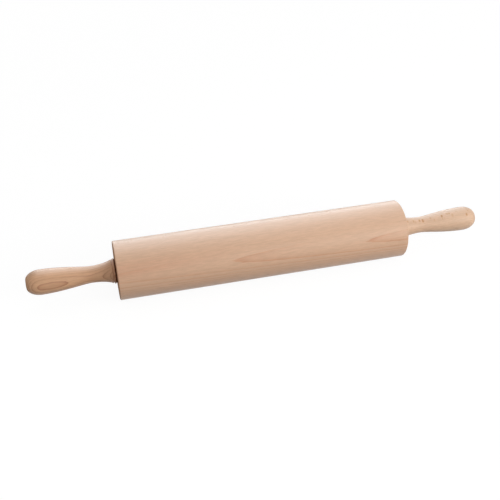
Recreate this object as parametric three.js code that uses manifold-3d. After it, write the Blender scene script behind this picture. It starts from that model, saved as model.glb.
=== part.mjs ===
// Rolling pin: a turned beech barrel that spins on ball bearings round a fixed steel axle.
// The axle is screwed into a turned handle at each end.
// Millimetres. +X runs along the axle, +Z is up, and the origin is the centre of the barrel.
import * as THREE from "three";
import { mergeVertices } from "three/addons/utils/BufferGeometryUtils.js";
import Module from "manifold-3d";

const wasm = await Module();
wasm.setup();

// Barrel
const BARREL_LENGTH = 402;
const BARREL_DIAMETER = 80;
const BARREL_EDGE_ROUND = 1.5;
const BEARING_RECESS = 1;
const SEAT_LEDGE = 2.7;
const SEAT_RELIEF_DEPTH = 2;

// Handles: a lip, a flare down to the neck, a grip up to the bulb and a dome to the tip.
// A reach is how far a curve follows its tangent.
const HANDLE_GAP = 1.5;
const COLLAR_DIAMETER = 34;
const LIP_ROUND = 2;
const FLARE_LENGTH = 30.1;
const FLARE_SLOPE = 0.64;
const FLARE_REACH = 6.6;
const NECK_DIAMETER = 22.7;
const NECK_REACH = 10.4;
const GRIP_LENGTH = 64.6;
const BULB_DIAMETER = 33.8;
const BULB_INNER_REACH = 28;
const BULB_OUTER_REACH = 13.4;
const DOME_LENGTH = 19.1;
const TIP_FLAT_DIAMETER = 13.6;
const TIP_REACH = 3;

// Axle
const AXLE_SHOULDER = 1;
const THREAD_DIAMETER = 8;
const THREAD_CHAMFER = 1;
const AXLE_TIP_REACH = 3;

// Threaded inserts and flanged spacers
const INSERT_LENGTH = 26;
const INSERT_WALL = 1.8;
const INSERT_FLANGE_WIDTH = 3;
const INSERT_FLANGE_THICKNESS = 1.5;
const SPACER_WALL = 2;
const SPACER_FLANGE_SETBACK = 0.8;
const DRILL_POINT_DEPTH = 2.5;

// Ball bearings: with the clearances below, these sizes give the common 10 x 26 x 8 bearing
const BEARING_BORE = 10;
const RACE_WALL = 1.469;
const GROOVE_DEPTH = 0.931;
const BALL_DIAMETER = 4.762;
const BALL_COUNT = 7;
const SHIELD_THICKNESS = 0.4;
const SHIELD_RECESS = 0.3;
const SHIELD_SEAT_DEPTH = 0.8;
const CAGE_BACK_WALL = 0.5;
const CAGE_HORN_REACH = 1.3;

// Clearances
const PRESS_GAP = 0.2;
const FACE_GAP = 0.2;
const AXLE_PLAY = 1.5;
const FLANGE_PLAY = 0.3;
const BALL_PLAY = 0.15;
const POCKET_PLAY = 0.2;
const CAGE_PLAY = 0.4;
const CAGE_SIDE_PLAY = 0.219;
const SHIELD_PLAY = 0.25;

// Facets: sides of a turned piece, and steps along a round or a curve of its outline
const BARREL_SIDES = 64;
const HANDLE_SIDES = 32;
const BEARING_SIDES = 28;
const ROD_SIDES = 24;
const BALL_DETAIL = 1;
const POCKET_SIDES = 16;
const ROUND_STEPS = 3;
const GROOVE_STEPS = 6;
const CURVE_STEPS = 6;

// Radii inside a bearing
const raceBoreRadius = BEARING_BORE / 2;
const grooveRadius = BALL_DIAMETER / 2 + BALL_PLAY;
const pitchRadius = raceBoreRadius + RACE_WALL + grooveRadius;
const bearingRadius = pitchRadius + grooveRadius + RACE_WALL;
const innerShoulderRadius = pitchRadius - grooveRadius + GROOVE_DEPTH;
const outerShoulderRadius = pitchRadius + grooveRadius - GROOVE_DEPTH;
const shieldSeatRadius = outerShoulderRadius + SHIELD_SEAT_DEPTH;
const pocketRadius = BALL_DIAMETER / 2 + POCKET_PLAY;

// Distances from a bearing's middle plane
const cageBack = pocketRadius + CAGE_BACK_WALL;
const shieldInnerPlane = cageBack + CAGE_SIDE_PLAY;
const shieldOuterPlane = shieldInnerPlane + SHIELD_THICKNESS;
const bearingHalfWidth = shieldOuterPlane + SHIELD_RECESS;

// Places at one end of the pin, measured outwards from the barrel's end face
const bearingCentre = -BEARING_RECESS - bearingHalfWidth;
const bearingInnerFace = bearingCentre - bearingHalfWidth;
const insertEnd = HANDLE_GAP + INSERT_LENGTH;
const axleEnd = insertEnd + AXLE_TIP_REACH;

// Radii of the axle and of what is screwed to it
const axleRadius = raceBoreRadius + AXLE_SHOULDER;
const journalRadius = raceBoreRadius - PRESS_GAP;
const threadRadius = THREAD_DIAMETER / 2;
const insertBoreRadius = threadRadius + PRESS_GAP;
const insertRadius = insertBoreRadius + INSERT_WALL;
const insertFlangeRadius = insertRadius + INSERT_FLANGE_WIDTH;

const beech = new THREE.MeshStandardMaterial({ color: 0xcfa884, roughness: 0.55, metalness: 0 });
const darkBeech = new THREE.MeshStandardMaterial({ color: 0xbe9474, roughness: 0.55, metalness: 0 });
const paleBeech = new THREE.MeshStandardMaterial({ color: 0xdbba9d, roughness: 0.55, metalness: 0 });
const steel = new THREE.MeshStandardMaterial({ color: 0xb4b6b8, roughness: 0.3, metalness: 1 });
const bearingSteel = new THREE.MeshStandardMaterial({ color: 0xc4c7ca, roughness: 0.15, metalness: 1 });
const brass = new THREE.MeshStandardMaterial({ color: 0xb8964e, roughness: 0.35, metalness: 1 });
const nylon = new THREE.MeshStandardMaterial({ color: 0xe6dfce, roughness: 0.6, metalness: 0 });
const fibre = new THREE.MeshStandardMaterial({ color: 0x3c2012, roughness: 0.7, metalness: 0 });

// A closed solid turned about X from an outline of (x, radius), whose outer side runs towards +X.
function turnedGeometry(outline, sides) {
  const profile = outline.map((point) => new THREE.Vector2(point.y, point.x));
  const geometry = new THREE.LatheGeometry(profile, sides, Math.PI / sides);
  return geometry.rotateZ(-Math.PI / 2);
}

function namedMesh(name, geometry, material) {
  const mesh = new THREE.Mesh(geometry, material);
  mesh.name = name;
  return mesh;
}

function turned(name, outline, sides, material) {
  return namedMesh(name, turnedGeometry(outline, sides), material);
}

function points(...pairs) {
  return pairs.map(([x, radius]) => new THREE.Vector2(x, radius));
}

// The outline of a plain ring, closed on itself.
function ringOutline(start, end, innerRadius, outerRadius) {
  return points(
    [start, innerRadius],
    [start, outerRadius],
    [end, outerRadius],
    [end, innerRadius],
    [start, innerRadius],
  );
}

function arcPoints(x, radius, size, fromAngle, toAngle, steps) {
  const arc = new THREE.EllipseCurve(x, radius, size, size, fromAngle, toAngle, toAngle < fromAngle);
  return arc.getPoints(steps);
}

// The other half of an outline that is the same at both ends, in the order in which it is drawn.
function mirrored(half) {
  return half.map((point) => new THREE.Vector2(-point.x, point.y)).reverse();
}

function barrel() {
  const half = BARREL_LENGTH / 2;
  const flatRadius = BARREL_DIAMETER / 2 / Math.cos(Math.PI / BARREL_SIDES);
  const seatRadius = bearingRadius + PRESS_GAP;
  const reliefRadius = seatRadius - SEAT_LEDGE;
  const seatEnd = half + bearingInnerFace - FACE_GAP;
  const reliefEnd = seatEnd - SEAT_RELIEF_DEPTH;
  const boreRadius = axleRadius + AXLE_PLAY;
  const edgeX = half - BARREL_EDGE_ROUND;
  const edgeRadius = flatRadius - BARREL_EDGE_ROUND;
  const leftBore = points(
    [-reliefEnd, boreRadius],
    [-reliefEnd, reliefRadius],
    [-seatEnd, reliefRadius],
    [-seatEnd, seatRadius],
    [-half, seatRadius],
  );
  const leftEdge = arcPoints(-edgeX, edgeRadius, BARREL_EDGE_ROUND, Math.PI, Math.PI / 2, ROUND_STEPS);
  const leftHalf = [...leftBore, ...leftEdge];
  const outline = [...leftHalf, ...mirrored(leftHalf), leftHalf[0]];
  return turned("barrel", outline, BARREL_SIDES, beech);
}

function axle() {
  const end = BARREL_LENGTH / 2 + axleEnd;
  const threadStart = BARREL_LENGTH / 2 + HANDLE_GAP - FACE_GAP;
  const shoulder = BARREL_LENGTH / 2 + bearingInnerFace - FACE_GAP;
  const leftHalf = points(
    [-end, 0],
    [-end, threadRadius - THREAD_CHAMFER],
    [-end + THREAD_CHAMFER, threadRadius],
    [-threadStart, threadRadius],
    [-threadStart, journalRadius],
    [-shoulder, journalRadius],
    [-shoulder, axleRadius],
  );
  return turned("axle", [...leftHalf, ...mirrored(leftHalf)], ROD_SIDES, steel);
}

function curvePoints(...pairs) {
  return new THREE.CubicBezierCurve(...points(...pairs)).getPoints(CURVE_STEPS).slice(1);
}

// The handle's outside from its collar to its tip: the lip's round, then one curve for each stretch.
function handleOutside() {
  const collarRadius = COLLAR_DIAMETER / 2;
  const neckRadius = NECK_DIAMETER / 2;
  const bulbRadius = BULB_DIAMETER / 2;
  const flatRadius = TIP_FLAT_DIAMETER / 2;
  const lipX = HANDLE_GAP + LIP_ROUND;
  const neckX = lipX + FLARE_LENGTH;
  const bulbX = neckX + GRIP_LENGTH;
  const tipX = bulbX + DOME_LENGTH;
  return [
    ...arcPoints(lipX, collarRadius - LIP_ROUND, LIP_ROUND, Math.PI, Math.PI / 2, ROUND_STEPS),
    ...curvePoints(
      [lipX, collarRadius],
      [lipX + FLARE_REACH, collarRadius - FLARE_SLOPE * FLARE_REACH],
      [neckX - NECK_REACH, neckRadius],
      [neckX, neckRadius],
    ),
    ...curvePoints(
      [neckX, neckRadius],
      [neckX + NECK_REACH, neckRadius],
      [bulbX - BULB_INNER_REACH, bulbRadius],
      [bulbX, bulbRadius],
    ),
    ...curvePoints(
      [bulbX, bulbRadius],
      [bulbX + BULB_OUTER_REACH, bulbRadius],
      [tipX, flatRadius + TIP_REACH],
      [tipX, flatRadius],
    ),
    ...points([tipX, 0]),
  ];
}

// The stepped blind bore for the insert and the axle's tip, from its drill point to the collar's face.
function handleBore() {
  const flangePocketRadius = insertFlangeRadius + PRESS_GAP;
  const flangePocketEnd = HANDLE_GAP + INSERT_FLANGE_THICKNESS + FACE_GAP;
  const sleevePocketRadius = insertRadius + PRESS_GAP;
  const sleevePocketEnd = insertEnd + FACE_GAP;
  const tipBoreRadius = threadRadius + PRESS_GAP;
  const tipBoreEnd = axleEnd + FACE_GAP;
  return points(
    [tipBoreEnd + DRILL_POINT_DEPTH, 0],
    [tipBoreEnd, tipBoreRadius],
    [sleevePocketEnd, tipBoreRadius],
    [sleevePocketEnd, sleevePocketRadius],
    [flangePocketEnd, sleevePocketRadius],
    [flangePocketEnd, flangePocketRadius],
    [HANDLE_GAP, flangePocketRadius],
  );
}

function handle(side, material) {
  return turned(side + "_handle", [...handleBore(), ...handleOutside()], HANDLE_SIDES, material);
}

function insert(side) {
  const flangeEnd = HANDLE_GAP + INSERT_FLANGE_THICKNESS;
  const outline = points(
    [HANDLE_GAP, insertBoreRadius],
    [HANDLE_GAP, insertFlangeRadius],
    [flangeEnd, insertFlangeRadius],
    [flangeEnd, insertRadius],
    [insertEnd, insertRadius],
    [insertEnd, insertBoreRadius],
    [HANDLE_GAP, insertBoreRadius],
  );
  return turned(side + "_insert", outline, ROD_SIDES, brass);
}

// A spacer whose hub bears on the inner race. Its flange fills the gap and keeps flour out of the bearing.
function spacer(side) {
  const start = -BEARING_RECESS + FACE_GAP;
  const end = HANDLE_GAP - FACE_GAP;
  const hubRadius = raceBoreRadius + SPACER_WALL;
  const flangeRadius = COLLAR_DIAMETER / 2 - SPACER_FLANGE_SETBACK;
  const outline = points(
    [start, raceBoreRadius],
    [start, hubRadius],
    [FLANGE_PLAY, hubRadius],
    [FLANGE_PLAY, flangeRadius],
    [end, flangeRadius],
    [end, raceBoreRadius],
    [start, raceBoreRadius],
  );
  return turned(side + "_spacer", outline, HANDLE_SIDES, fibre);
}

// The ball groove of a race: the arc of the ball's path that lies below the race's shoulders.
const grooveAngle = Math.acos((grooveRadius - GROOVE_DEPTH) / grooveRadius);

function groovePoints(middleAngle) {
  const from = middleAngle - grooveAngle;
  return arcPoints(0, pitchRadius, grooveRadius, from, middleAngle + grooveAngle, GROOVE_STEPS);
}

function innerRace(side) {
  const half = bearingHalfWidth;
  const outline = [
    ...points([-half, raceBoreRadius], [-half, innerShoulderRadius]),
    ...groovePoints(-Math.PI / 2),
    ...points([half, innerShoulderRadius], [half, raceBoreRadius], [-half, raceBoreRadius]),
  ];
  return turned(side + "_inner_race", outline, BEARING_SIDES, bearingSteel);
}

function outerRace(side) {
  const seatPlane = shieldInnerPlane - FACE_GAP;
  const rightSeat = points(
    [bearingHalfWidth, bearingRadius],
    [bearingHalfWidth, shieldSeatRadius],
    [seatPlane, shieldSeatRadius],
    [seatPlane, outerShoulderRadius],
  );
  const outline = [...rightSeat, ...groovePoints(Math.PI / 2), ...mirrored(rightSeat), rightSeat[0]];
  return turned(side + "_outer_race", outline, BEARING_SIDES, bearingSteel);
}

function shield(side, place, facing) {
  const planes = [facing * shieldInnerPlane, facing * shieldOuterPlane];
  const innerRadius = innerShoulderRadius + SHIELD_PLAY;
  const outerRadius = shieldSeatRadius - PRESS_GAP;
  const outline = ringOutline(Math.min(...planes), Math.max(...planes), innerRadius, outerRadius);
  return turned(side + "_" + place + "_shield", outline, BEARING_SIDES, bearingSteel);
}

function ballPlaces() {
  return Array.from({ length: BALL_COUNT }, (_, index) => {
    const angle = (2 * Math.PI * index) / BALL_COUNT;
    return { number: index + 1, angle };
  });
}

function balls(side) {
  return ballPlaces().map(({ number, angle }) => {
    const geometry = new THREE.IcosahedronGeometry(BALL_DIAMETER / 2, BALL_DETAIL);
    const ball = namedMesh(side + "_ball_" + number, geometry, bearingSteel);
    ball.position.set(0, pitchRadius * Math.sin(angle), pitchRadius * Math.cos(angle));
    return ball;
  });
}

function mergedPositions(geometry) {
  geometry.deleteAttribute("normal");
  geometry.deleteAttribute("uv");
  return mergeVertices(geometry);
}

function solidOf(geometry) {
  const merged = mergedPositions(geometry);
  const vertProperties = new Float32Array(merged.attributes.position.array);
  const triVerts = new Uint32Array(merged.index.array);
  return new wasm.Manifold(new wasm.Mesh({ numProp: 3, vertProperties, triVerts }));
}

function geometryOf(solid) {
  const mesh = solid.getMesh();
  const geometry = new THREE.BufferGeometry();
  geometry.setAttribute("position", new THREE.BufferAttribute(mesh.vertProperties, 3));
  geometry.setIndex(new THREE.BufferAttribute(mesh.triVerts, 1));
  geometry.computeVertexNormals();
  return geometry;
}

// A crown cage: a ring with a back wall behind the balls, horns between them and a pocket for each.
function ballCage(side) {
  const innerRadius = innerShoulderRadius + CAGE_PLAY;
  const outerRadius = outerShoulderRadius - CAGE_PLAY;
  const outline = ringOutline(-cageBack, CAGE_HORN_REACH, innerRadius, outerRadius);
  const ring = turnedGeometry(outline, BEARING_SIDES);
  const pocketLength = 2 * (outerRadius - innerRadius);
  const cage = ballPlaces().reduce((solid, { angle }) => {
    const pocket = new THREE.CylinderGeometry(pocketRadius, pocketRadius, pocketLength, POCKET_SIDES);
    pocket.translate(0, pitchRadius, 0).rotateX(Math.PI / 2 - angle);
    return solid.subtract(solidOf(pocket));
  }, solidOf(ring));
  return namedMesh(side + "_ball_cage", geometryOf(cage), nylon);
}

function bearing(side) {
  const group = new THREE.Group();
  group.add(outerRace(side), innerRace(side), ballCage(side), ...balls(side));
  group.add(shield(side, "inboard", -1), shield(side, "outboard", 1));
  group.position.x = bearingCentre;
  return group;
}

// Everything at one end of the barrel. The left end is the right end turned half round about Z.
function endGroup(side, material) {
  const group = new THREE.Group();
  group.add(bearing(side), spacer(side), insert(side), handle(side, material));
  const direction = side === "left" ? -1 : 1;
  group.position.x = (direction * BARREL_LENGTH) / 2;
  group.rotation.z = side === "left" ? Math.PI : 0;
  return group;
}

const rollingPin = new THREE.Group();
rollingPin.add(barrel(), axle(), endGroup("left", darkBeech), endGroup("right", paleBeech));

export default rollingPin;
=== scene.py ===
# Rolling pin: a turned beech barrel on ball bearings, between two turned handles on a steel axle.
import math
from dataclasses import dataclass, replace

import bmesh
import bpy
from bpy.props import FloatProperty, FloatVectorProperty, IntProperty, PointerProperty
from bpy.types import Operator, Panel, PropertyGroup
from mathutils import Matrix, Vector
from mathutils.geometry import interpolate_bezier


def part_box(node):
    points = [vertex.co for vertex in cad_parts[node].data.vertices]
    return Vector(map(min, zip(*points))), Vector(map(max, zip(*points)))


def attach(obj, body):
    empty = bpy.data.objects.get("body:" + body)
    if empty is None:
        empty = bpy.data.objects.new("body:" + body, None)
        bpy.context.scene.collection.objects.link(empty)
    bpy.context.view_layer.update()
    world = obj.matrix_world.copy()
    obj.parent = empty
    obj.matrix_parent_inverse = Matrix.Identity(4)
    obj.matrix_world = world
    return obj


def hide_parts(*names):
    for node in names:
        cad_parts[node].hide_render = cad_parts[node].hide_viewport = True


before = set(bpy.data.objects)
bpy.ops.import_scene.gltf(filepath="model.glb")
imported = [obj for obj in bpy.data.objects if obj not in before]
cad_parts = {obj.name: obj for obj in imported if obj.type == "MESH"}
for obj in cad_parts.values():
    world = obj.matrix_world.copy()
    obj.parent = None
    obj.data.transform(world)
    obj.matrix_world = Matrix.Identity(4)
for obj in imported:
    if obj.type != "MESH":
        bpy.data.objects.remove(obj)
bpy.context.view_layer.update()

bl_info = {
    "name": "Rolling Pin",
    "version": (1, 0, 0),
    "blender": (4, 5, 0),
    "location": "View3D > Sidebar > Rolling Pin",
    "description": "Turns the beech, steel, brass and fibre pieces of a rolling pin on its frame",
    "category": "Add Mesh",
}

MM = 0.001
FULL_TURN = 2 * math.pi
SIDES = ("left", "right")

# Where points merge, edges stay sharp and faces count as the barrel's ends
WELD = 1e-6
CREASE = math.radians(32)
END_FACING = 0.9

# Steps round the turned pieces
BARREL_SIDES = 192
HANDLE_SIDES = 128
SPACER_SIDES = 128
ROD_SIDES = 64
BEARING_SIDES = 96
CAGE_SIDES = 140
FLOOR_SIDES = 128
BALL_SUBDIVISIONS = 4

# Steps along an outline's curves, rounds and chamfers
OUTLINE_STEPS = 28
LIP_STEPS = 8
GROOVE_STEPS = 16
EDGE_STEPS = 6
CORNER_STEPS = 3
CHAMFER_STEPS = 2

# Shares of the width of the groove behind a lip, between which its floor lies
LIP_GROOVE_FLOOR = (0.25, 0.75)

# How a screen's levels relate to light
SCREEN_WHITE = 255
SCREEN_OFFSET = 0.055
SCREEN_POWER = 2.4

barrel_low, barrel_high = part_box("barrel")
handle_low, handle_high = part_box("right_handle")
race_low, race_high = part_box("right_outer_race")
insert_low, insert_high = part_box("right_insert")
spacer_low, spacer_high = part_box("right_spacer")
axle_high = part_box("axle")[1]


def linear(red, green, blue):
    """A colour as a screen shows it, from 0 to 255, in the linear values that shaders take."""
    shares = [level / SCREEN_WHITE for level in (red, green, blue)]
    return tuple(((share + SCREEN_OFFSET) / (1 + SCREEN_OFFSET)) ** SCREEN_POWER for share in shares)


def size(name, description, metres):
    """A length that a user can change."""
    return FloatProperty(name=name, description=description, default=metres, min=0.0, unit="LENGTH")


def colour(name, description, value):
    """A colour that a user can change."""
    return FloatVectorProperty(
        name=name, description=description, default=value, size=3, min=0.0, max=1.0, subtype="COLOR"
    )


class BarrelSettings(PropertyGroup):
    """The barrel and the bearing seats bored into its ends."""

    length: size("Length", "From end face to end face", barrel_high.x - barrel_low.x)
    diameter: size("Diameter", "Across the rolling surface", barrel_high.z - barrel_low.z)
    edge_round: size("Edge round", "Radius of the round at each end", 1.5 * MM)
    bore: size("Bore", "Diameter of the hole for the axle", 15.0 * MM)
    seat: size("Seat", "Diameter of a bearing's seat", 26.4 * MM)
    seat_depth: size("Seat depth", "From the end face to the seat's ledge", 9.2 * MM)
    relief: size("Relief", "Diameter of the step behind the seat", 21.0 * MM)
    relief_depth: size("Relief depth", "From the ledge to the end of the step", 2.0 * MM)
    seat_chamfer: size("Seat chamfer", "Chamfer at the mouth of a seat", 0.5 * MM)


class HandleSettings(PropertyGroup):
    """A handle, measured outwards from its face: lip, flare, neck, grip, bulb, dome and tip."""

    collar: size("Collar", "Diameter at the lip", 34.0 * MM)
    lip_round: size("Lip round", "Radius of the lip's inner edge", 1.0 * MM)
    lip_land: size("Lip land", "Width of the level top of the lip", 1.0 * MM)
    lip_groove: size("Lip groove", "Width of the groove cut behind the lip", 1.2 * MM)
    lip_groove_depth: size("Lip groove depth", "From the lip's top to the groove's floor", 1.9 * MM)
    flare_length: size("Flare length", "From the lip to the neck", 30.1 * MM)
    flare_slope: FloatProperty(name="Flare slope", description="Fall of the flare at the lip", default=0.64)
    flare_reach: size("Flare reach", "How far the flare follows its slope", 6.6 * MM)
    neck: size("Neck", "Least diameter of the grip", 22.7 * MM)
    neck_reach: size("Neck reach", "How far the outline runs level at the neck", 10.4 * MM)
    grip_length: size("Grip length", "From the neck to the bulb", 64.6 * MM)
    bulb: size("Bulb", "Largest diameter of the grip", 33.8 * MM)
    bulb_inner_reach: size("Bulb inner reach", "Level run before the bulb", 28.0 * MM)
    bulb_outer_reach: size("Bulb outer reach", "Level run after the bulb", 13.4 * MM)
    tip_flat: size("Tip flat", "Diameter of the flat at the tip", 13.6 * MM)
    tip_reach: size("Tip reach", "How far the dome runs square to the axis", 3.0 * MM)
    flange_pocket: size("Flange pocket", "Diameter of the insert flange's pocket", 18.4 * MM)
    flange_pocket_depth: size("Flange pocket depth", "Depth of that pocket", 1.7 * MM)
    sleeve_pocket: size("Sleeve pocket", "Diameter of the insert sleeve's hole", 12.4 * MM)
    sleeve_pocket_depth: size("Sleeve pocket depth", "Depth of that hole", 26.2 * MM)
    tip_bore: size("Tip bore", "Diameter of the hole for the axle's tip", 8.4 * MM)
    tip_bore_depth: size("Tip bore depth", "Depth of that hole", 29.2 * MM)
    drill_point: size("Drill point", "Depth of the drill's cone", 2.5 * MM)


class AxleSettings(PropertyGroup):
    """The axle, its spacers and the threaded inserts it is screwed into."""

    diameter: size("Diameter", "Diameter between the bearings", 12.0 * MM)
    journal: size("Journal", "Diameter inside a bearing", 9.6 * MM)
    thread: size("Thread", "Outer diameter of the thread", 8.0 * MM)
    chamfer: size("Chamfer", "Chamfer at each end", 1.0 * MM)
    shoulder_depth: size("Shoulder depth", "From the barrel's end face to the shoulder", 9.2 * MM)
    journal_reach: size("Journal reach", "From the barrel's end face to the thread", 1.3 * MM)
    spacer_bore: size("Spacer bore", "Diameter of a spacer's hole", 10.0 * MM)
    spacer_hub: size("Spacer hub", "Diameter of a spacer's hub", 14.0 * MM)
    # A flange nearly as wide as the collar, dark, as painted shade in the gap between barrel and handle
    shade_flange: size("Spacer flange", "Diameter of a spacer's flange", 32.4 * MM)
    spacer_play: size("Spacer play", "From the barrel's end face to that flange", 0.3 * MM)
    spacer_round: size("Spacer round", "Round at the flange's rim", 0.15 * MM)
    insert_bore: size("Insert bore", "Diameter of an insert's hole", 8.4 * MM)
    insert_diameter: size("Insert diameter", "Diameter of an insert's sleeve", 12.0 * MM)
    insert_flange: size("Insert flange", "Diameter of an insert's flange", 18.0 * MM)
    insert_flange_thickness: size("Flange thickness", "Thickness of that flange", 1.5 * MM)


class BearingSettings(PropertyGroup):
    """A shielded ball bearing, with its races, shields, balls and crown cage."""

    bore: size("Bore", "Diameter of the inner race's hole", 10.0 * MM)
    diameter: size("Diameter", "Diameter of the outer race", 26.0 * MM)
    inner_shoulder: size("Inner shoulder", "Diameter of the inner race's shoulders", 14.8 * MM)
    outer_shoulder: size("Outer shoulder", "Diameter of the outer race's shoulders", 21.2 * MM)
    pitch: size("Pitch", "Diameter of the circle of ball centres", 18.0 * MM)
    groove_radius: size("Groove radius", "Radius of a ball groove", 2.531 * MM)
    ball: size("Ball", "Diameter of a ball", 4.762 * MM)
    balls: IntProperty(name="Balls", description="Balls in a bearing", default=7, min=3)
    shield_seat: size("Shield seat", "Diameter of a shield's seat", 22.8 * MM)
    shield_plane: size("Shield plane", "From the middle to a shield's inner side", 3.3 * MM)
    shield_thickness: size("Shield thickness", "Thickness of a shield, with its step", 0.4 * MM)
    shield_step: size("Shield step", "How far its middle is pressed out", 0.15 * MM)
    shield_slope: size("Shield slope", "Width of the slope up to that step", 0.3 * MM)
    shield_inner_rim: size("Shield inner rim", "Width of the flat round a shield's hole", 0.3 * MM)
    shield_outer_rim: size("Shield outer rim", "Width of the flat at a shield's edge", 0.6 * MM)
    shield_gap: size("Shield gap", "From a shield to the ledge behind it", 0.2 * MM)
    shield_hole: size("Shield hole", "Diameter of a shield's hole", 15.3 * MM)
    shield_diameter: size("Shield diameter", "Diameter of a shield", 22.4 * MM)
    cage_hole: size("Cage hole", "Diameter inside the cage", 15.6 * MM)
    cage_diameter: size("Cage diameter", "Diameter outside the cage", 20.4 * MM)
    cage_back: size("Cage back", "From the middle to the cage's back", 3.081 * MM)
    cage_horn: size("Cage horn", "From the middle to the tips of the cage's horns", 1.3 * MM)
    pocket: size("Pocket", "Diameter of a ball's pocket", 5.162 * MM)
    corner: size("Corner", "Round at the corners of the races", 0.3 * MM)


class FinishSettings(PropertyGroup):
    """Colours of the woods, metals, nylon and fibre."""

    barrel_pale: colour("Barrel, pale", "Early wood of the barrel", linear(217, 178, 148))
    barrel_late: colour("Barrel, late", "Late wood of the barrel", linear(203, 140, 106))
    end_late: colour("Barrel ends, late", "Late wood on the barrel's end faces", linear(180, 112, 74))
    left_pale: colour("Left handle, pale", "Early wood of the left handle", linear(211, 165, 128))
    left_late: colour("Left handle, late", "Late wood of the left handle", linear(154, 96, 68))
    right_pale: colour("Right handle, pale", "Early wood of the right handle", linear(222, 186, 156))
    right_late: colour("Right handle, late", "Late wood of the right handle", linear(206, 162, 128))
    fleck: colour("Fleck", "Ray flecks of the wood", linear(190, 130, 72))
    steel: colour("Steel", "Turned steel of the axle", linear(176, 178, 180))
    bearing: colour("Bearing steel", "Ground steel of the bearings", linear(196, 199, 202))
    brass: colour("Brass", "Brass of the inserts", linear(196, 160, 92))
    nylon: colour("Nylon", "Nylon of the cages", linear(230, 223, 206))
    # Dark as painted shade: the spacers' flanges stand in for the shadow in the gaps beside the barrel
    shade_fibre: colour("Fibre", "Pressed fibre of the spacers", linear(92, 46, 22))


class StageSettings(PropertyGroup):
    """The camera, the floor and the sky."""

    camera_place: FloatVectorProperty(
        name="Camera place", description="Where the camera stands", size=3,
        default=(-0.22452, -0.84053, 0.67127), subtype="TRANSLATION", unit="LENGTH",
    )
    camera_aim: FloatVectorProperty(
        name="Camera aim", description="Direction in which it looks", size=3,
        default=(0.18994, 0.76739, -0.6124), subtype="DIRECTION",
    )
    lens: FloatProperty(name="Lens", description="Focal length in millimetres", default=57.13, min=1.0)
    sensor: FloatProperty(name="Sensor", description="Sensor's width in millimetres", default=36.0, min=1.0)
    floor_radius: size("Floor radius", "Radius of the round floor", 6.0)
    floor: colour("Floor", "Colour of the floor", (0.12, 0.12, 0.12))
    floor_glow: FloatProperty(
        name="Floor glow", description="White that the camera, gloss and glass see on it", default=0.925
    )
    sky: FloatProperty(name="Sky", description="Strength of the light from all round", default=0.48)


class RollingPinSettings(PropertyGroup):
    """All settings of the rolling pin."""

    barrel: PointerProperty(type=BarrelSettings)
    handle: PointerProperty(type=HandleSettings)
    axle: PointerProperty(type=AxleSettings)
    bearing: PointerProperty(type=BearingSettings)
    finish: PointerProperty(type=FinishSettings)
    stage: PointerProperty(type=StageSettings)


# Turning and finishing of pieces


def turned(outline, sides):
    """A closed skin turned about X from an outline of (x, radius)."""
    mesh = bmesh.new()
    corners = [mesh.verts.new((x, 0.0, radius)) for x, radius in outline]
    edges = [mesh.edges.new(pair) for pair in zip(corners, corners[1:])]
    bmesh.ops.spin(
        mesh, geom=corners + edges, cent=(0, 0, 0), axis=(1, 0, 0),
        angle=FULL_TURN, steps=sides, use_merge=True,
    )
    bmesh.ops.remove_doubles(mesh, verts=mesh.verts, dist=WELD)
    bmesh.ops.recalc_face_normals(mesh, faces=mesh.faces)
    return mesh


def ring_edges(mesh, x, radius):
    """The edges that run round a turned piece at one corner of its outline."""

    def there(vert):
        off_circle = math.hypot(vert.co.y, vert.co.z) - radius
        return abs(vert.co.x - x) < WELD and abs(off_circle) < WELD

    return [edge for edge in mesh.edges if all(there(vert) for vert in edge.verts)]


def round_corners(mesh, corners, amount, steps):
    """Rounds a turned piece at corners of its outline."""
    edges = [edge for x, radius in corners for edge in ring_edges(mesh, x, radius)]
    bmesh.ops.bevel(
        mesh, geom=edges, offset=amount, offset_type="OFFSET", affect="EDGES",
        segments=steps, profile=0.5, material=-1, clamp_overlap=True,
    )


def arc(x, radius, reach, start, end, steps):
    """Points of an outline on a round about (x, radius), from one angle to another."""
    angles = [start + (end - start) * step / steps for step in range(steps + 1)]
    return [(x + reach * math.cos(angle), radius + reach * math.sin(angle)) for angle in angles]


def mirrored(outline):
    """An outline's other half, on the far side of X = 0 and in reverse order."""
    return [(-x, radius) for x, radius in reversed(outline)]


def set_at_end(mesh, side, end_x):
    """Puts a piece made outwards from X = 0 at its place on one side of the pin."""
    place = Matrix.Translation((end_x, 0, 0))
    if side == "left":
        place = Matrix.Rotation(math.pi, 4, "Z") @ place
    bmesh.ops.transform(mesh, matrix=place, verts=mesh.verts)


def mesh_data(name, mesh):
    """A bmesh as a named mesh. The bmesh is gone afterwards."""
    data = bpy.data.meshes.new(name)
    mesh.to_mesh(data)
    mesh.free()
    return data


def add_object(name, data):
    """A new object in the scene."""
    made = bpy.data.objects.new(name, data)
    bpy.context.scene.collection.objects.link(made)
    return made


def finish_piece(name, mesh, material, body, node):
    """Makes a piece's object, smooth up to the crease angle, and ties it to the frame."""
    data = mesh_data(name, mesh)
    data.shade_smooth()
    data.set_sharp_from_angle(angle=CREASE)
    data.materials.append(material)
    piece = add_object(name, data)
    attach(piece, body)
    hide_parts(node)
    return piece


# Materials

WHITE = (1.0, 1.0, 1.0)

# What a noise lies about, and the levels between which nearly all of it lies
NOISE_MIDDLE = (0.5, 0.5, 0.5)
NOISE_REACH = (0.2, 0.8)

# Sockets of the node that mixes colours
MIX_SHARE = 0
MIX_FIRST = 6
MIX_SECOND = 7
MIX_RESULT = 2


def opaque(tint):
    """A colour as a colour socket takes it."""
    return (*tint, 1.0)


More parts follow.
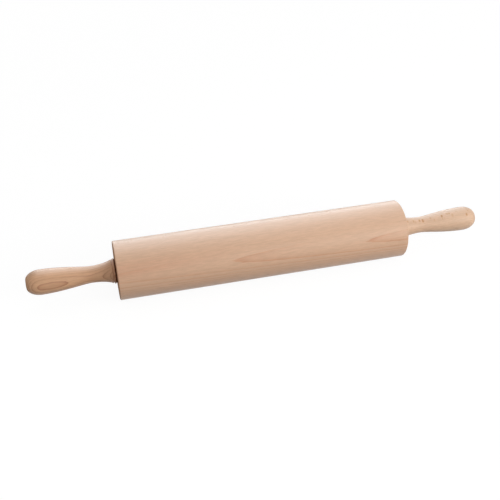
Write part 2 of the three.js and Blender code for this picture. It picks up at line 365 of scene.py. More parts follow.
class Shading:
    """The nodes of a material or a world, with a short call for each kind."""

    def __init__(self, owner):
        owner.use_nodes = True
        owner.node_tree.nodes.clear()
        self.owner = owner
        self.tree = owner.node_tree

    def node(self, kind, inputs=None, **settings):
        """Adds a node, sets or links its inputs, and gives its outputs."""
        made = self.tree.nodes.new(kind)
        for key, value in settings.items():
            setattr(made, key, value)
        for key, value in (inputs or {}).items():
            if isinstance(value, bpy.types.NodeSocket):
                self.tree.links.new(value, made.inputs[key])
            else:
                made.inputs[key].default_value = value
        return made.outputs

    def math(self, operation, *values):
        """A number worked out from numbers."""
        return self.node("ShaderNodeMath", dict(enumerate(values)), operation=operation)[0]

    def vector(self, operation, *values):
        """A vector worked out from vectors."""
        return self.node("ShaderNodeVectorMath", dict(enumerate(values)), operation=operation)["Vector"]

    def measure(self, operation, *values):
        """A number worked out from vectors, such as a length."""
        return self.node("ShaderNodeVectorMath", dict(enumerate(values)), operation=operation)["Value"]

    def stretched(self, vector, along, across):
        """A place scaled along X and across it."""
        return self.vector("MULTIPLY", vector, (along, across, across))

    def object_place(self, along, across):
        """A place on the object, scaled along X and across it. Scales are counted per millimetre."""
        place = self.node("ShaderNodeTexCoord")["Object"]
        return self.stretched(place, along / MM, across / MM)

    def noise(self, vector, detail=2.0, roughness=0.5):
        """A smooth noise, as a number and as a colour."""
        inputs = {"Vector": vector, "Scale": 1.0, "Detail": detail, "Roughness": roughness}
        return self.node("ShaderNodeTexNoise", inputs)

    def span(self, value, low, high, start=0.0, end=1.0):
        """Value from low to high, eased onto start to end."""
        inputs = {"Value": value, "From Min": low, "From Max": high, "To Min": start, "To Max": end}
        return self.node("ShaderNodeMapRange", inputs, interpolation_type="SMOOTHSTEP")[0]

    def blend(self, share, first, second):
        """Two colours mixed by the share of the second."""
        inputs = {MIX_SHARE: share}
        for index, value in ((MIX_FIRST, first), (MIX_SECOND, second)):
            inputs[index] = value if isinstance(value, bpy.types.NodeSocket) else opaque(value)
        return self.node("ShaderNodeMix", inputs, data_type="RGBA")[MIX_RESULT]

    def bump(self, height, strength, depth):
        """The normal of a surface with a relief of height times depth."""
        inputs = {"Height": height, "Strength": strength, "Distance": depth}
        return self.node("ShaderNodeBump", inputs)["Normal"]

    def seen_directly(self):
        """1 for rays from the camera and for what gloss and glass show, otherwise 0."""
        path = self.node("ShaderNodeLightPath")
        seen = self.math("MAXIMUM", path["Is Camera Ray"], path["Is Glossy Ray"])
        return self.math("MAXIMUM", seen, path["Is Transmission Ray"])

    def surface(self, shader, output="ShaderNodeOutputMaterial"):
        """Ends the nodes in their output, and gives the finished material or world."""
        self.node(output, {"Surface": shader})
        return self.owner


# Beech


@dataclass(frozen=True)
class Board:
    """How a piece lay in its log, and how strongly its figure shows.

    The pith lies pith_distance millimetres from the piece's axis, at pith_angle degrees above the front,
    and comes nearer by lean for each millimetre along X. Rings are ring_width millimetres wide, and
    fleck_shift moves the flecks by millimetres. Other values are shares of a ring or of full strength.
    """

    pith_distance: float
    pith_angle: float
    lean: float
    ring_width: float
    ring_shift: float
    ring_strength: float
    ring_body: float
    upper_fade: float
    fleck_chance: float
    fleck_strength: float
    fleck_shift: float = 0.0
    # Strength of a darker band along the grain that deepens towards the left end
    band_strength: float = 0.0

    @property
    def towards_pith(self):
        """The direction of the pith from the piece's axis, along Y and Z."""
        angle = math.radians(self.pith_angle)
        return -math.cos(angle), math.sin(angle)

    @property
    def upward(self):
        """The direction square to the pith and to X, on the upper side."""
        along_y, along_z = self.towards_pith
        return 0.0, along_z, -along_y


BARREL_BOARD = Board(
    pith_distance=260.0, pith_angle=22.5, lean=0.0134,
    ring_width=2.55, ring_shift=0.34, ring_strength=0.88, ring_body=0.42, upper_fade=0.9,
    fleck_chance=0.3, fleck_strength=0.25, band_strength=0.3,
)
BARREL_END_BOARD = replace(BARREL_BOARD, ring_strength=1.0, ring_body=0.5, upper_fade=0.0)
LEFT_BOARD = Board(
    pith_distance=180.0, pith_angle=13.0, lean=0.05,
    ring_width=2.6, ring_shift=0.215, ring_strength=0.78, ring_body=0.7, upper_fade=0.5,
    fleck_chance=0.3, fleck_strength=0.3,
)
RIGHT_BOARD = Board(
    pith_distance=180.0, pith_angle=-26.0, lean=0.02,
    ring_width=2.6, ring_shift=0.1, ring_strength=0.35, ring_body=0.6, upper_fade=0.0,
    fleck_chance=0.0, fleck_strength=0.8, fleck_shift=15.6,
)


@dataclass(frozen=True)
class Grain:
    """A noise drawn out along the wood. Its scales are counted per millimetre."""

    along: float
    across: float
    detail: float = 2.0
    roughness: float = 0.5


SWAY = Grain(along=0.006, across=0.035, detail=1.0)
FRAY = Grain(along=0.05, across=0.8)
PATCHES = Grain(along=0.012, across=0.06)
STREAKS = Grain(along=0.012, across=0.35, detail=3.0, roughness=0.6)
DASHES = Grain(along=0.075, across=0.65, detail=3.0, roughness=0.6)
FIBRES = Grain(along=0.1, across=3.0)
PORES = Grain(along=0.3, across=8.0, detail=1.0)

# Growth rings. A span holds a low and a high value, and then what they become.
SWAY_REACH = (0.0, 0.8, 0.8)
FRAY_REACH = 0.3
RING_LINE = 0.75
RING_LINE_POWER = 10.0
RING_BODY_POWER = 3.0
RING_END_SPAN = (0.96, 1.0, 1.0, 0.0)
PATCH_SPAN = (0.3, 0.7, 0.55, 1.0)
FADE_LEVELS = (1.0, 12.0)

# A darker band along the grain, deepest towards the left end: its place above the pith's plane and its run
# along X, in millimetres
BAND_LEVEL = 10.0
BAND_EDGES = (2.0, 15.0)
BAND_RUN_SPAN = (-230.0, 20.0, 1.0, 0.0)

# Ray flecks: sizes of their cells in millimetres, their outlines, and where the cut shows them
FLECK_LENGTH = 4.6
FLECK_SPACING = 3.0
FLECK_DEPTH = 9.0
FLECK_SPAN = (0.2, 0.48, 1.0, 0.0)
FLECK_SURE = 0.95
QUARTERED_SPAN = (0.93, 0.985, 0.06, 1.0)

# Shade and relief of streaks, fibres, pores and end grain
STREAK_SHADE_SPAN = (0.25, 0.75, 0.975, 1.02)
STREAK_ROUGHNESS_SPAN = (*NOISE_REACH, 0.38, 0.46)
DASH_SHADE_SPAN = (0.3, 0.7, -0.05, 0.05)
FIBRE_SHADE_SPAN = (*NOISE_REACH, -0.03, 0.03)
FIBRE_HEIGHT = 0.6
PORE_LEVELS = (0.62, 0.74)
PORE_SHADE = -0.06
PORE_HEIGHT = -0.8
END_GRAIN_FACING = (0.55, 1.0)
END_GRAIN_TINT = (0.88, 0.8, 0.72)
END_GRAIN_ROUGHNESS = 0.5
SHEEN_ROUGHNESS = 0.45


class BeechShading(Shading):
    """The nodes of beech as it lay in its log, with its grain along X and its lengths in millimetres."""

    def __init__(self, name, board):
        super().__init__(bpy.data.materials.new(name))
        self.board = board
        coordinates = self.node("ShaderNodeTexCoord")
        self.normal = coordinates["Normal"]
        self.place = self.stretched(coordinates["Object"], 1 / MM, 1 / MM)
        self.level = self.measure("DOT_PRODUCT", self.place, board.upward)
        self.find_pith()

    def drawn(self, grain):
        """A noise drawn out along the wood."""
        place = self.stretched(self.place, grain.along, grain.across)
        return self.noise(place, grain.detail, grain.roughness)

    def find_pith(self):
        """Measures each point from the pith, which comes nearer along X and sways a little."""
        sway = self.vector("SUBTRACT", self.drawn(SWAY)["Color"], NOISE_MIDDLE)
        swayed = self.vector("MULTIPLY_ADD", sway, SWAY_REACH, self.place)
        axes = self.node("ShaderNodeSeparateXYZ", {"Vector": swayed})
        self.along = axes["X"]
        self.from_pith = []
        for axis, share in zip("YZ", self.board.towards_pith):
            offset = self.math("SUBTRACT", axes[axis], share * self.board.pith_distance)
            self.from_pith.append(self.math("MULTIPLY_ADD", self.along, share * self.board.lean, offset))
        across = self.node("ShaderNodeCombineXYZ", dict(zip("YZ", self.from_pith)))[0]
        self.radius = self.measure("LENGTH", across)

    def late_wood(self):
        """Late wood of the growth rings: each darkens outwards to a line, and fades on the upper side."""
        frayed = self.math("MULTIPLY_ADD", self.drawn(FRAY)["Fac"], FRAY_REACH, self.radius)
        rings = self.math("MULTIPLY_ADD", frayed, 1 / self.board.ring_width, self.board.ring_shift)
        in_ring = self.math("FRACT", rings)
        line = self.math("MULTIPLY", self.math("POWER", in_ring, RING_LINE_POWER), RING_LINE)
        body = self.math("POWER", in_ring, RING_BODY_POWER)
        rise = self.math("MULTIPLY_ADD", body, self.board.ring_body, line)
        late = self.math("MULTIPLY", rise, self.span(in_ring, *RING_END_SPAN))
        late = self.math("MULTIPLY", late, self.span(self.drawn(PATCHES)["Fac"], *PATCH_SPAN))
        fade = self.span(self.level, *FADE_LEVELS, 1.0, 1.0 - self.board.upper_fade)
        return self.math("MULTIPLY", late, fade)

    def darker_band_to_left(self):
        """A band along the grain, blended towards the late wood's colour, that deepens towards the left
        end.
        """
        off_band = self.math("ABSOLUTE", self.math("SUBTRACT", self.level, BAND_LEVEL))
        band = self.span(off_band, *BAND_EDGES, self.board.band_strength, 0.0)
        return self.math("MULTIPLY", band, self.span(self.along, *BAND_RUN_SPAN))

    def ray_flecks(self):
        """Rays: thin sheets along the grain that point at the pith and show where the cut meets them."""
        turn = self.math("ARCTAN2", self.from_pith[1], self.from_pith[0])
        shift = self.board.fleck_shift / FLECK_LENGTH
        rays = self.node("ShaderNodeCombineXYZ", {
            "X": self.math("MULTIPLY_ADD", self.along, 1 / FLECK_LENGTH, shift),
            "Y": self.math("MULTIPLY", turn, self.board.pith_distance / FLECK_SPACING),
            "Z": self.math("MULTIPLY", self.radius, 1 / FLECK_DEPTH),
        })[0]
        cells = self.node("ShaderNodeTexVoronoi", {"Vector": rays, "Scale": 1.0})
        chance = self.node("ShaderNodeSeparateColor", {"Color": cells["Color"]})[0]
        flecks = self.span(cells["Distance"], *FLECK_SPAN)
        flecks = self.math("MULTIPLY", flecks, self.span(chance, self.board.fleck_chance, FLECK_SURE))
        facing = self.measure("DOT_PRODUCT", self.normal, self.board.upward)
        quartered = self.span(self.math("ABSOLUTE", facing), *QUARTERED_SPAN)
        return self.math("MULTIPLY", flecks, quartered)

    def end_grain(self):
        """1 where the surface cuts across the grain, and 0 along it."""
        facing = self.node("ShaderNodeSeparateXYZ", {"Vector": self.normal})["X"]
        return self.span(self.math("ABSOLUTE", facing), *END_GRAIN_FACING)


def beech(name, pale, late, fleck, board, specular=0.35, sheen=0.15):
    """Oiled beech with growth rings, ray flecks, fibres, pores and darker end grain."""
    wood = BeechShading(name, board)
    streaks = wood.drawn(STREAKS)["Fac"]
    fibres = wood.drawn(FIBRES)["Fac"]
    pores = wood.span(wood.drawn(PORES)["Fac"], *PORE_LEVELS)
    end_grain = wood.end_grain()

    tint = wood.blend(wood.math("MULTIPLY", wood.late_wood(), board.ring_strength), pale, late)
    # Darker in a band along the grain, more so towards the left end
    tint = wood.blend(wood.darker_band_to_left(), tint, late)
    tint = wood.blend(wood.math("MULTIPLY", wood.ray_flecks(), board.fleck_strength), tint, fleck)
    shade = wood.span(streaks, *STREAK_SHADE_SPAN)
    shade = wood.math("ADD", shade, wood.span(wood.drawn(DASHES)["Fac"], *DASH_SHADE_SPAN))
    shade = wood.math("ADD", shade, wood.span(fibres, *FIBRE_SHADE_SPAN))
    shade = wood.math("MULTIPLY_ADD", pores, PORE_SHADE, shade)
    tint = wood.vector("MULTIPLY", tint, shade)
    tint = wood.blend(end_grain, tint, wood.vector("MULTIPLY", tint, END_GRAIN_TINT))

    height = wood.math("MULTIPLY_ADD", fibres, FIBRE_HEIGHT, wood.math("MULTIPLY", pores, PORE_HEIGHT))
    roughness = wood.span(streaks, *STREAK_ROUGHNESS_SPAN)
    shader = wood.node("ShaderNodeBsdfPrincipled", {
        "Base Color": tint,
        "Roughness": wood.math("MULTIPLY_ADD", end_grain, END_GRAIN_ROUGHNESS, roughness),
        "Specular IOR Level": specular,
        "Sheen Weight": sheen,
        "Sheen Roughness": SHEEN_ROUGHNESS,
        "Normal": wood.bump(height, strength=0.25, depth=0.05 * MM),
    })
    return wood.surface(shader[0])


# Metals, nylon and fibre

# Roughness of a turned metal's grooves, as shares of its own, and grains counted per millimetre
GROOVE_ROUGHNESS = (0.8, 1.2)
POLISH_GRAIN = 0.7
POLISH_ROUGHNESS_SPAN = (*NOISE_REACH, 0.06, 0.12)
NYLON_GRAIN = 2.0
NYLON_ROUGHNESS_SPAN = (*NOISE_REACH, 0.5, 0.65)
NYLON_SCATTER = 0.1
STRAND_LEVELS = (0.3, 0.7)
STRAND_SHADE = 0.7
STRAND_ROUGHNESS_SPAN = (*NOISE_REACH, 0.65, 0.8)
STRAND_SPECULAR = 0.1


def turned_metal(name, tint, rough, grooves):
    """Metal from the lathe, with fine grooves round X. Grooves are counted per millimetre."""
    metal = Shading(bpy.data.materials.new(name))
    lines = metal.noise(metal.object_place(along=grooves, across=0.0), detail=3.0)["Fac"]
    smooth, coarse = GROOVE_ROUGHNESS
    shader = metal.node("ShaderNodeBsdfPrincipled", {
        "Base Color": opaque(tint),
        "Metallic": 1.0,
        "Roughness": metal.span(lines, *NOISE_REACH, rough * smooth, rough * coarse),
        "Normal": metal.bump(lines, strength=0.3, depth=0.02 * MM),
    })
    return metal.surface(shader[0])


def polished_steel(name, tint):
    """Lapped steel with the faint blotches of polishing."""
    steel = Shading(bpy.data.materials.new(name))
    blotches = steel.noise(steel.object_place(POLISH_GRAIN, POLISH_GRAIN), detail=3.0)["Fac"]
    shader = steel.node("ShaderNodeBsdfPrincipled", {
        "Base Color": opaque(tint),
        "Metallic": 1.0,
        "Roughness": steel.span(blotches, *POLISH_ROUGHNESS_SPAN),
    })
    return steel.surface(shader[0])


def moulded_nylon(name, tint):
    """Natural nylon with a fine moulded grain."""
    nylon = Shading(bpy.data.materials.new(name))
    speckle = nylon.noise(nylon.object_place(NYLON_GRAIN, NYLON_GRAIN), detail=3.0)["Fac"]
    shader = nylon.node("ShaderNodeBsdfPrincipled", {
        "Base Color": opaque(tint),
        "Roughness": nylon.span(speckle, *NYLON_ROUGHNESS_SPAN),
        "Subsurface Weight": NYLON_SCATTER,
        "Normal": nylon.bump(speckle, strength=0.2, depth=0.05 * MM),
    })
    return nylon.surface(shader[0])


def painted_shade_fibre(name, tint):
    """Dark pressed fibre, mottled by the strands in it. Its darkness is painted shade for the gaps beside
    the barrel.
    """
    shade_fibre = Shading(bpy.data.materials.new(name))
    strands = shade_fibre.noise(shade_fibre.object_place(along=0.4, across=1.5), detail=4.0)["Fac"]
    dark = [STRAND_SHADE * channel for channel in tint]
    shader = shade_fibre.node("ShaderNodeBsdfPrincipled", {
        "Base Color": shade_fibre.blend(shade_fibre.span(strands, *STRAND_LEVELS), dark, tint),
        "Roughness": shade_fibre.span(strands, *STRAND_ROUGHNESS_SPAN),
        "Specular IOR Level": STRAND_SPECULAR,
        "Normal": shade_fibre.bump(strands, strength=0.3, depth=0.05 * MM),
    })
    return shade_fibre.surface(shader[0])


# Barrel and handles


class ROLLINGPIN_OT_barrel(Operator):
    """Turn the barrel, with a bearing seat bored in each end"""

    bl_idname = "rolling_pin.barrel"
    bl_label = "Barrel"

    def execute(self, context):
        settings = context.scene.rolling_pin
        barrel = settings.barrel
        finish = settings.finish
        half = barrel.length / 2
        ledge = half - barrel.seat_depth
        relief_end = ledge - barrel.relief_depth
        right_bore = [
            (half, barrel.seat / 2),
            (ledge, barrel.seat / 2),
            (ledge, barrel.relief / 2),
            (relief_end, barrel.relief / 2),
            (relief_end, barrel.bore / 2),
        ]
        left_bore = mirrored(right_bore)
        outside = [(-half, barrel.diameter / 2), (half, barrel.diameter / 2)]
        mesh = turned([*right_bore, *left_bore, *outside, right_bore[0]], BARREL_SIDES)
        round_corners(mesh, outside, barrel.edge_round, EDGE_STEPS)
        round_corners(mesh, [right_bore[0], left_bore[-1]], barrel.seat_chamfer, CHAMFER_STEPS)
        mesh.normal_update()
        for face in mesh.faces:
            face.material_index = int(abs(face.normal.x) > END_FACING)
        side_grain = beech(
            "barrel_beech", finish.barrel_pale, finish.barrel_late, finish.fleck, BARREL_BOARD
        )
        end_grain = beech(
            "barrel_end_grain", finish.barrel_pale, finish.end_late, finish.fleck, BARREL_END_BOARD,
            specular=0.05, sheen=0.0,
        )
        piece = finish_piece("turned_barrel", mesh, side_grain, "roller", "barrel")
        piece.data.materials.append(end_grain)
        return {"FINISHED"}


def handle_outline(handle, length):
    """Outline of a handle from its drill point, out of its bore and over its outside to its tip."""
    collar = handle.collar / 2
    neck = handle.neck / 2
    bulb = handle.bulb / 2
    flat = handle.tip_flat / 2
    lip_x = handle.lip_round + handle.lip_land
    neck_x = lip_x + handle.flare_length
    bulb_x = neck_x + handle.grip_length
    bore = [
        (handle.tip_bore_depth + handle.drill_point, 0.0),
        (handle.tip_bore_depth, handle.tip_bore / 2),
        (handle.sleeve_pocket_depth, handle.tip_bore / 2),
        (handle.sleeve_pocket_depth, handle.sleeve_pocket / 2),
        (handle.flange_pocket_depth, handle.sleeve_pocket / 2),
        (handle.flange_pocket_depth, handle.flange_pocket / 2),
        (0.0, handle.flange_pocket / 2),
    ]
    round_radius = collar - handle.lip_round
    lip = arc(handle.lip_round, round_radius, handle.lip_round, math.pi, math.pi / 2, LIP_STEPS)
    lip.append((lip_x, collar))
    groove_floor = collar - handle.lip_groove_depth
    groove = [(lip_x + share * handle.lip_groove, groove_floor) for share in LIP_GROOVE_FLOOR]
    flare = (
        (lip_x, collar),
        (lip_x + handle.flare_reach, collar - handle.flare_slope * handle.flare_reach),
        (neck_x - handle.neck_reach, neck),
        (neck_x, neck),
    )
    grip = (
        (neck_x, neck),
        (neck_x + handle.neck_reach, neck),
        (bulb_x - handle.bulb_inner_reach, bulb),
        (bulb_x, bulb),
    )
    dome = (
        (bulb_x, bulb),
        (bulb_x + handle.bulb_outer_reach, bulb),
        (length, flat + handle.tip_reach),
        (length, flat),
    )
    outside = []
    for stretch in (flare, grip, dome):
        knots = [Vector(point) for point in stretch]
        outside += [tuple(point) for point in interpolate_bezier(*knots, OUTLINE_STEPS)[1:]]
    outside = [(x, radius) for x, radius in outside if x > lip_x + handle.lip_groove]
    return [*bore, *lip, *groove, *outside, (length, 0.0)]


class ROLLINGPIN_OT_handles(Operator):
    """Turn the two handles, each from its own piece of beech"""

    bl_idname = "rolling_pin.handles"
    bl_label = "Handles"

    def execute(self, context):
        settings = context.scene.rolling_pin
        finish = settings.finish
        woods = {
            "left": (finish.left_pale, finish.left_late, finish.fleck, LEFT_BOARD),
            "right": (finish.right_pale, finish.right_late, finish.fleck, RIGHT_BOARD),
        }
        for side in SIDES:
            node = side + "_handle"
            wood = beech(node + "_beech", *woods[side])
            mesh = turned(handle_outline(settings.handle, handle_high.x - handle_low.x), HANDLE_SIDES)
            set_at_end(mesh, side, handle_low.x)
            finish_piece(side + "_turned_handle", mesh, wood, "handle_unit", node)
        return {"FINISHED"}


# Axle, spacers and inserts


class ROLLINGPIN_OT_axle(Operator):
    """Turn the axle, with a shoulder, a journal and a thread at each end"""

    bl_idname = "rolling_pin.axle"
    bl_label = "Axle"

    def execute(self, context):
        settings = context.scene.rolling_pin
        axle = settings.axle
        end = axle_high.x
        thread_start = barrel_high.x + axle.journal_reach
        shoulder = barrel_high.x - axle.shoulder_depth
        right = [
            (shoulder, axle.diameter / 2),
            (shoulder, axle.journal / 2),
            (thread_start, axle.journal / 2),
            (thread_start, axle.thread / 2),
            (end - axle.chamfer, axle.thread / 2),
            (end, axle.thread / 2 - axle.chamfer),
            (end, 0.0),
        ]
        mesh = turned([*mirrored(right), *right], ROD_SIDES)
        steel = turned_metal("turned_steel", settings.finish.steel, rough=0.3, grooves=9.0)
        finish_piece("turned_axle", mesh, steel, "handle_unit", "axle")
        return {"FINISHED"}


def spacer_with_shade_flange(axle):
    """A spacer, measured from the barrel's end face: its hub, and a flange that fills the gap, whose dark
    fibre is painted shade between barrel and handle.
    """
    bore = axle.spacer_bore / 2
    hub = axle.spacer_hub / 2
    flange = axle.shade_flange / 2
    start = spacer_low.x - barrel_high.x
    end = spacer_high.x - barrel_high.x
    rim = [(axle.spacer_play, flange), (end, flange)]
    hub_side = [(start, bore), (start, hub), (axle.spacer_play, hub)]
    spacer = turned([*hub_side, *rim, (end, bore), hub_side[0]], SPACER_SIDES)
    round_corners(spacer, rim, axle.spacer_round, CHAMFER_STEPS)
    return spacer


class ROLLINGPIN_OT_spacers(Operator):
    """Turn the two spacers that keep the gaps between the barrel and the handles, with dark flanges that
    are painted shade in those gaps
    """

    bl_idname = "rolling_pin.spacers"
    bl_label = "Spacers"

    def execute(self, context):
        settings = context.scene.rolling_pin
        # Dark fibre on the spacers' flanges, painted shade for the gaps beside the barrel
        shade_fibre = painted_shade_fibre("painted_shade_fibre", settings.finish.shade_fibre)
        for side in SIDES:
            spacer = spacer_with_shade_flange(settings.axle)
            set_at_end(spacer, side, barrel_high.x)
            name = side + "_turned_spacer"
            finish_piece(name, spacer, shade_fibre, "handle_unit", side + "_spacer")
        return {"FINISHED"}


def flanged_insert(axle, length):
    """An insert, measured outwards from its flange."""
    bore = axle.insert_bore / 2
    sleeve = axle.insert_diameter / 2
    flange = axle.insert_flange / 2
    flange_end = axle.insert_flange_thickness
    outside = [(0.0, flange), (flange_end, flange), (flange_end, sleeve), (length, sleeve)]
    return turned([(0.0, bore), *outside, (length, bore), (0.0, bore)], ROD_SIDES)


class ROLLINGPIN_OT_inserts(Operator):
    """Turn the two threaded inserts that hold the axle in the handles"""

    bl_idname = "rolling_pin.inserts"
    bl_label = "Inserts"

    def execute(self, context):
        settings = context.scene.rolling_pin
        brass = turned_metal("turned_brass", settings.finish.brass, rough=0.28, grooves=7.0)
        for side in SIDES:
            insert = flanged_insert(settings.axle, insert_high.x - insert_low.x)
            set_at_end(insert, side, insert_low.x)
            name = side + "_turned_insert"
            finish_piece(name, insert, brass, "handle_unit", side + "_insert")
        return {"FINISHED"}


# Bearings


def ball_groove(bearing, shoulder, middle):
    """The arc of a race's groove between its shoulders, about the circle of ball centres."""
    depth = abs(bearing.pitch - shoulder) / 2
    half_angle = math.acos(depth / bearing.groove_radius)
    start = middle - half_angle
    end = middle + half_angle
    return arc(0.0, bearing.pitch / 2, bearing.groove_radius, start, end, GROOVE_STEPS)


def inner_race(bearing, half):
    """A race that sits on the axle, grooved on its outside."""
    bore = bearing.bore / 2
    shoulder = bearing.inner_shoulder / 2
    groove = ball_groove(bearing, bearing.inner_shoulder, -math.pi / 2)
    corners = [(-half, bore), (-half, shoulder), (half, shoulder), (half, bore)]
    race = turned([*corners[:2], *groove, *corners[2:], corners[0]], BEARING_SIDES)
    round_corners(race, corners, bearing.corner, CORNER_STEPS)
    return race


def outer_race(bearing, half):
    """A race that sits in the barrel, grooved on its inside, with a seat for each shield."""
    outside = bearing.diameter / 2
    shoulder = bearing.outer_shoulder / 2
    seat = bearing.shield_seat / 2
    seat_plane = bearing.shield_plane - bearing.shield_gap
    right = [(half, outside), (half, seat), (seat_plane, seat), (seat_plane, shoulder)]
    left = mirrored(right)
    groove = ball_groove(bearing, bearing.outer_shoulder, math.pi / 2)
    race = turned([*right, *groove, *left, right[0]], BEARING_SIDES)
    round_corners(race, [right[0], left[-1]], bearing.corner, CORNER_STEPS)
    return race


def pressed_shield(bearing, facing):
    """A thin steel ring, pressed out between its hole and its edge, that faces +X or -X by 1 or -1."""
    hole = bearing.shield_hole / 2
    edge = bearing.shield_diameter / 2
    inner_rim = hole + bearing.shield_inner_rim
    outer_rim = edge - bearing.shield_outer_rim
    low = bearing.shield_plane
    raised = low + bearing.shield_step
    back = [
        (low, hole),
        (low, inner_rim),
        (raised, inner_rim + bearing.shield_slope),
        (raised, outer_rim - bearing.shield_slope),
        (low, outer_rim),
        (low, edge),
    ]
    sheet = bearing.shield_thickness - bearing.shield_step
    front = [(x + sheet, radius) for x, radius in reversed(back)]
    outline = [*back, *front, back[0]]
    return turned([(facing * x, radius) for x, radius in outline], BEARING_SIDES)


def add_ball(mesh, diameter, place):
    """Adds a ball to a mesh."""
    bmesh.ops.create_icosphere(
        mesh, subdivisions=BALL_SUBDIVISIONS, radius=diameter / 2, matrix=Matrix.Translation(place)
    )


def cut_away(mesh, cutter):
    """What is left of a closed mesh once another is cut out of it."""
    blank = add_object("blank", mesh_data("blank", mesh))
    tool = add_object("cutter", mesh_data("cutter", cutter))
    cut = blank.modifiers.new("cut", "BOOLEAN")
    cut.operation = "DIFFERENCE"
    cut.solver = "EXACT"
    cut.object = tool
    finished = bmesh.new()
    finished.from_object(blank, bpy.context.evaluated_depsgraph_get())
    for each in (blank, tool):
        data = each.data
        bpy.data.objects.remove(each)
        bpy.data.meshes.remove(data)
    return finished


def crown_cage(bearing, ball_places, side, middle):
    """A ring with a back wall and horns, with a round pocket cut for each ball."""
    inner = bearing.cage_hole / 2
    outer = bearing.cage_diameter / 2
    back = -bearing.cage_back
    horn = bearing.cage_horn
    ring = turned([(back, inner), (back, outer), (horn, outer), (horn, inner), (back, inner)], CAGE_SIDES)
    set_at_end(ring, side, middle)
    pockets = bmesh.new()
    for place in ball_places:
        add_ball(pockets, bearing.pocket, place)
    return cut_away(ring, pockets)


class ROLLINGPIN_OT_bearings(Operator):
    """Make the two ball bearings, with races, shields, balls and cages"""

    bl_idname = "rolling_pin.bearings"
    bl_label = "Bearings"

    def execute(self, context):
        settings = context.scene.rolling_pin
        bearing = settings.bearing
        finish = settings.finish
        ground = turned_metal("ground_steel", finish.bearing, rough=0.16, grooves=14.0)
        pressed = turned_metal("pressed_steel", finish.steel, rough=0.34, grooves=5.0)
        polished = polished_steel("polished_steel", finish.bearing)
        nylon = moulded_nylon("cage_nylon", finish.nylon)
        half = (race_high.x - race_low.x) / 2
        middle = (race_high.x + race_low.x) / 2
        for side in SIDES:
            turned_pieces = (
                ("inner_race", inner_race(bearing, half), ground, "handle_unit"),
                ("outer_race", outer_race(bearing, half), ground, "roller"),
                ("outboard_shield", pressed_shield(bearing, 1), pressed, "roller"),
                ("inboard_shield", pressed_shield(bearing, -1), pressed, "roller"),
            )
            for name, mesh, metal, body in turned_pieces:
                set_at_end(mesh, side, middle)
                node = side + "_" + name
                finish_piece(node + "_steel", mesh, metal, body, node)
            train = side + "_ball_train"
            ball_places = []
            for number in range(1, bearing.balls + 1):
                node = f"{side}_ball_{number}"
                low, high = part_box(node)
                ball_places.append((low + high) / 2)
                ball = bmesh.new()
                add_ball(ball, bearing.ball, ball_places[-1])
                finish_piece(node + "_steel", ball, polished, train, node)
            cage = crown_cage(bearing, ball_places, side, middle)
            finish_piece(side + "_crown_cage", cage, nylon, train, side + "_ball_cage")
        return {"FINISHED"}


# Stage

# Distances in metres over which the floor turns from lit paper to plain white
FLOOR_FADE = (0.5, 1.6)


@dataclass(frozen=True)
class Lamp:
    """A flat lamp that faces the middle of the barrel. Lengths are in metres and power in watts."""

    name: str
    place: tuple
    width: float
    depth: float
    power: float
    lights_matt: bool = True
    lights_gloss: bool = True


LAMPS = (
    Lamp("high_back_panel", (0.3, 1.5, 1.7), width=2.4, depth=1.4, power=60.0, lights_matt=False),
    Lamp("low_back_panel", (0.3, 2.2, 0.5), width=2.4, depth=0.9, power=44.0, lights_matt=False),
    Lamp("top_panel", (0.3, 0.35, 2.2), width=2.4, depth=1.4, power=28.0, lights_matt=False),
    Lamp("right_key", (1.6, -1.45, 0.8), width=1.4, depth=1.2, power=22.5),
    Lamp("front_fill", (0.7, -1.95, 0.7), width=1.8, depth=1.0, power=7.5),
    Lamp("camera_fill", (0.3, -1.5, 1.4), width=1.6, depth=1.0, power=3.2, lights_gloss=False),
)


def floor_paper(name, stage):
    """Pale paper that keeps the shadow near the pin and is plain white further off."""
    paper = Shading(bpy.data.materials.new(name))
    seen = paper.seen_directly()
    strength = paper.math("MULTIPLY", seen, stage.floor_glow)
    glow = paper.node("ShaderNodeEmission", {"Strength": strength})[0]
    lit = paper.node("ShaderNodeBsdfDiffuse", {"Color": opaque(stage.floor)})[0]
    near = paper.node("ShaderNodeAddShader", {0: lit, 1: glow})[0]
    white = paper.node("ShaderNodeEmission", {"Color": opaque(WHITE)})[0]
    distance = paper.measure("LENGTH", paper.node("ShaderNodeTexCoord")["Object"])
    far = paper.math("MULTIPLY", paper.span(distance, *FLOOR_FADE), seen)
    return paper.surface(paper.node("ShaderNodeMixShader", {0: far, 1: near, 2: white})[0])


def lay_floor(stage):
    """A round floor under the barrel."""
    mesh = bmesh.new()
    bmesh.ops.create_circle(mesh, cap_ends=True, segments=FLOOR_SIDES, radius=stage.floor_radius)
    bmesh.ops.translate(mesh, verts=mesh.verts, vec=(0, 0, barrel_low.z))
    data = mesh_data("studio_floor", mesh)
    data.materials.append(floor_paper("floor_paper", stage))
    add_object("studio_floor", data)


def studio_sky(name, strength):
    """A sky that gives even light and looks plain white."""
    sky = Shading(bpy.data.worlds.new(name))
    brightness = sky.span(sky.seen_directly(), 0.0, 1.0, strength, 1.0)
    background = sky.node("ShaderNodeBackground", {"Color": opaque(WHITE), "Strength": brightness})[0]
    return sky.surface(background, output="ShaderNodeOutputWorld")


def aimed(direction):
    """The turn of a lamp or a camera that looks in a direction."""
    return Vector(direction).to_track_quat("-Z", "Y").to_euler()


def hang_lamp(lamp):
    """A soft lamp over the floor."""
    light = bpy.data.lights.new(lamp.name, "AREA")
    light.shape = "RECTANGLE"
    light.size = lamp.width
    light.size_y = lamp.depth
    light.energy = lamp.power
    holder = add_object(lamp.name, light)
    holder.location = lamp.place
    holder.rotation_euler = aimed(-Vector(lamp.place))
    holder.visible_diffuse = lamp.lights_matt
    holder.visible_glossy = lamp.lights_gloss


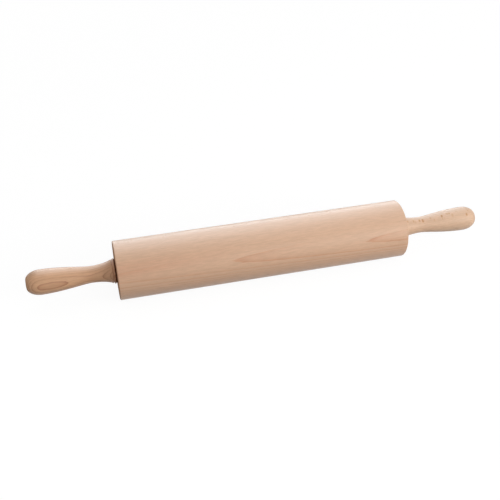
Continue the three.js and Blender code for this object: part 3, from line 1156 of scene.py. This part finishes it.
def set_camera(scene, stage):
    """The camera, at the photograph's viewing angle."""
    camera = bpy.data.cameras.new("photo_camera")
    camera.sensor_width = stage.sensor
    camera.lens = stage.lens
    holder = add_object("photo_camera", camera)
    holder.location = stage.camera_place
    holder.rotation_euler = aimed(stage.camera_aim)
    scene.camera = holder


class ROLLINGPIN_OT_stage(Operator):
    """Set up the floor, the studio light and the camera"""

    bl_idname = "rolling_pin.stage"
    bl_label = "Stage"

    def execute(self, context):
        scene = context.scene
        stage = scene.rolling_pin.stage
        lay_floor(stage)
        scene.world = studio_sky("studio_sky", stage.sky)
        for lamp in LAMPS:
            hang_lamp(lamp)
        set_camera(scene, stage)
        scene.view_settings.view_transform = "Standard"
        return {"FINISHED"}


# Panel and registration


class ROLLINGPIN_PT_panel(Panel):
    """Lists the steps that make the rolling pin"""

    bl_idname = "ROLLINGPIN_PT_panel"
    bl_label = "Rolling Pin"
    bl_space_type = "VIEW_3D"
    bl_region_type = "UI"
    bl_category = "Rolling Pin"

    def draw(self, context):
        for operator in OPERATORS:
            self.layout.operator(operator.bl_idname)


OPERATORS = (
    ROLLINGPIN_OT_barrel,
    ROLLINGPIN_OT_handles,
    ROLLINGPIN_OT_axle,
    ROLLINGPIN_OT_spacers,
    ROLLINGPIN_OT_inserts,
    ROLLINGPIN_OT_bearings,
    ROLLINGPIN_OT_stage,
)
SETTINGS = (
    BarrelSettings,
    HandleSettings,
    AxleSettings,
    BearingSettings,
    FinishSettings,
    StageSettings,
    RollingPinSettings,
)
CLASSES = (*SETTINGS, *OPERATORS, ROLLINGPIN_PT_panel)


def register():
    for each in CLASSES:
        bpy.utils.register_class(each)
    bpy.types.Scene.rolling_pin = PointerProperty(type=RollingPinSettings)


def unregister():
    del bpy.types.Scene.rolling_pin
    for each in reversed(CLASSES):
        bpy.utils.unregister_class(each)


def main():
    register()
    bpy.ops.rolling_pin.barrel()
    bpy.ops.rolling_pin.handles()
    bpy.ops.rolling_pin.axle()
    bpy.ops.rolling_pin.spacers()
    bpy.ops.rolling_pin.inserts()
    bpy.ops.rolling_pin.bearings()
    bpy.ops.rolling_pin.stage()


if __name__ == "__main__":
    main()
